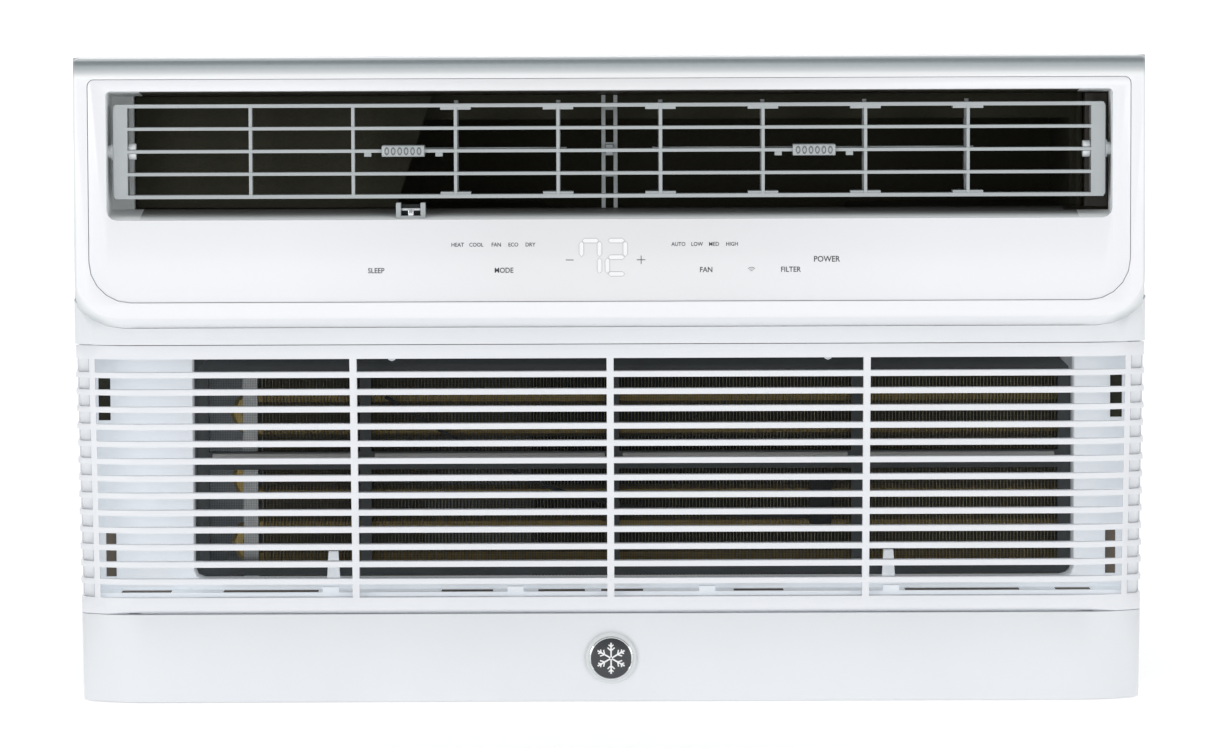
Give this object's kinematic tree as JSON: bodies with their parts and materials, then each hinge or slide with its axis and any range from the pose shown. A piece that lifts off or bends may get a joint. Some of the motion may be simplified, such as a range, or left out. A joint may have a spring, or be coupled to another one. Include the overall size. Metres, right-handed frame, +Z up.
{
  "type": "room air conditioner",
  "caption": "Slide-in room air conditioner with a tilting louver frame, touch control fascia, tilt-out barred intake grille, lift-up filter and a steel chassis.",
  "frame": {"origin": "middle of the underside, on the surface the chassis stands on", "axes": "+Z up, +X to the right as seen from in front, -Y out of the front"},
  "size_m": [0.6604, 0.546, 0.3969],
  "materials": {
    "case_white": "fine satin white",
    "bezel_gloss": "gloss white",
    "fascia_gloss": "gloss white with grey print",
    "badge_dark": "gloss dark disc",
    "board_green": "circuit board",
    "duct_grey": "satin grey",
    "foam_dark": "dark foam",
    "louver_silver": "satin silver grey",
    "nylon_white": "natural nylon",
    "plate_white": "satin off white",
    "rubber_black": "matt",
    "filter_dark": "satin dark grey",
    "mesh_dark": "fine woven mesh",
    "chassis_steel": "galvanised grey",
    "guard_paint": "painted grey",
    "fin_aluminium": "thin bare fins",
    "end_plate_steel": "galvanised",
    "copper": "drawn copper",
    "sensor_black": "satin",
    "motor_steel": "grey enamel",
    "compressor_black": "black enamel",
    "capacitor_can": "bare can",
    "shaft_steel": "ground",
    "fan_plastic": "satin black"
  },
  "bodies": {
    "machine": {"front_housing": "case_white", "bezel": "bezel_gloss", "control_fascia": "fascia_gloss", "badge": "badge_dark", "display_board": "board_green", "outlet_duct": "duct_grey", "outlet_baffle": "foam_dark", "louver_bracket": "louver_silver", "inner_frame": "plate_white", "cord_gland": "rubber_black", "base_pan": "chassis_steel", "cabinet_wrapper": "chassis_steel", "rear_guard": "guard_paint", "partition": "chassis_steel", "evaporator_fins": "fin_aluminium", "evaporator_tube": "copper", "evaporator_end_plate_left": "end_plate_steel", "evaporator_end_plate_right": "end_plate_steel", "condenser_fins": "fin_aluminium", "condenser_tube": "copper", "condenser_end_plate_left": "end_plate_steel", "condenser_end_plate_right": "end_plate_steel", "condenser_shroud": "plate_white", "drain_pan": "plate_white", "blower_scroll": "foam_dark", "thermistor": "sensor_black", "thermistor_lead": "sensor_black", "fan_motor": "motor_steel", "motor_bracket": "chassis_steel", "compressor": "compressor_black", "compressor_grommet_1": "rubber_black", "compressor_grommet_2": "rubber_black", "compressor_grommet_3": "rubber_black", "accumulator": "copper", "suction_pipe": "copper", "discharge_pipe": "copper", "control_box": "chassis_steel", "control_board": "board_green", "capacitor": "capacitor_can"},
    "grille": {"intake_grille": "case_white"},
    "filter": {"filter_frame": "filter_dark", "filter_mesh": "mesh_dark"},
    "louver": {"louver_frame": "louver_silver", "pivot_pin_left": "nylon_white", "pivot_pin_right": "nylon_white"},
    "rotor": {"motor_shaft": "shaft_steel", "blower_wheel": "fan_plastic", "condenser_fan": "fan_plastic"},
    "left_slider": {"left_tie_bar": "louver_silver", "left_thumb_tab": "louver_silver"},
    "right_slider": {"right_tie_bar": "louver_silver", "right_thumb_tab": "louver_silver"},
    "left_vane_body_1": {"left_vane_1": "louver_silver"},
    "left_vane_body_2": {"left_vane_2": "louver_silver"},
    "right_vane_body_1": {"right_vane_1": "louver_silver"},
    "right_vane_body_2": {"right_vane_2": "louver_silver"},
    "right_vane_body_3": {"right_vane_3": "louver_silver"},
    "right_vane_body_4": {"right_vane_4": "louver_silver"}
  },
  "joints": [
    {"name": "louver_tilt", "type": "hinge", "parent": "machine", "child": "louver", "pos_m": [0, -0.257, 0.33975], "axis": [1, 0, 0], "range_deg": [-20, 25]},
    {"name": "left_tab_slide", "type": "slide", "parent": "louver", "child": "left_slider", "axis": [1, 0, 0], "range_m": [-0.0058, 0.0058]},
    {"name": "left_vane_1_turn", "type": "hinge", "parent": "louver", "child": "left_vane_body_1", "pos_m": [-0.09398, -0.245, 0.33975], "axis": [0, 0, 1], "range_deg": [-28, 28]},
    {"name": "left_vane_2_turn", "type": "hinge", "parent": "louver", "child": "left_vane_body_2", "pos_m": [-0.03132, -0.245, 0.33975], "axis": [0, 0, 1], "range_deg": [-28, 28]},
    {"name": "right_tab_slide", "type": "slide", "parent": "louver", "child": "right_slider", "axis": [1, 0, 0], "range_m": [-0.0058, 0.0058]},
    {"name": "right_vane_1_turn", "type": "hinge", "parent": "louver", "child": "right_vane_body_1", "pos_m": [0.03132, -0.245, 0.33975], "axis": [0, 0, 1], "range_deg": [-28, 28]},
    {"name": "right_vane_2_turn", "type": "hinge", "parent": "louver", "child": "right_vane_body_2", "pos_m": [0.09398, -0.245, 0.33975], "axis": [0, 0, 1], "range_deg": [-28, 28]},
    {"name": "right_vane_3_turn", "type": "hinge", "parent": "louver", "child": "right_vane_body_3", "pos_m": [0.15662, -0.245, 0.33975], "axis": [0, 0, 1], "range_deg": [-28, 28]},
    {"name": "right_vane_4_turn", "type": "hinge", "parent": "louver", "child": "right_vane_body_4", "pos_m": [0.21927, -0.245, 0.33975], "axis": [0, 0, 1], "range_deg": [-28, 28]},
    {"name": "grille_tilt", "type": "hinge", "parent": "machine", "child": "grille", "pos_m": [0, -0.2545, 0.0597], "axis": [1, 0, 0], "range_deg": [0, 65]},
    {"name": "filter_lift", "type": "slide", "parent": "machine", "child": "filter", "axis": [0, 0, 1], "range_m": [0, 0.008]},
    {"name": "fan_spin", "type": "hinge", "parent": "machine", "child": "rotor", "pos_m": [0.055, 0, 0.159], "axis": [0, 1, 0], "continuous": true}
  ],
  "couplings": [
    {"joint": "left_vane_1_turn", "follows": "left_tab_slide", "rad_per_m": -83.333},
    {"joint": "left_vane_2_turn", "follows": "left_tab_slide", "rad_per_m": -83.333},
    {"joint": "right_vane_1_turn", "follows": "right_tab_slide", "rad_per_m": -83.333},
    {"joint": "right_vane_2_turn", "follows": "right_tab_slide", "rad_per_m": -83.333},
    {"joint": "right_vane_3_turn", "follows": "right_tab_slide", "rad_per_m": -83.333},
    {"joint": "right_vane_4_turn", "follows": "right_tab_slide", "rad_per_m": -83.333}
  ]
}
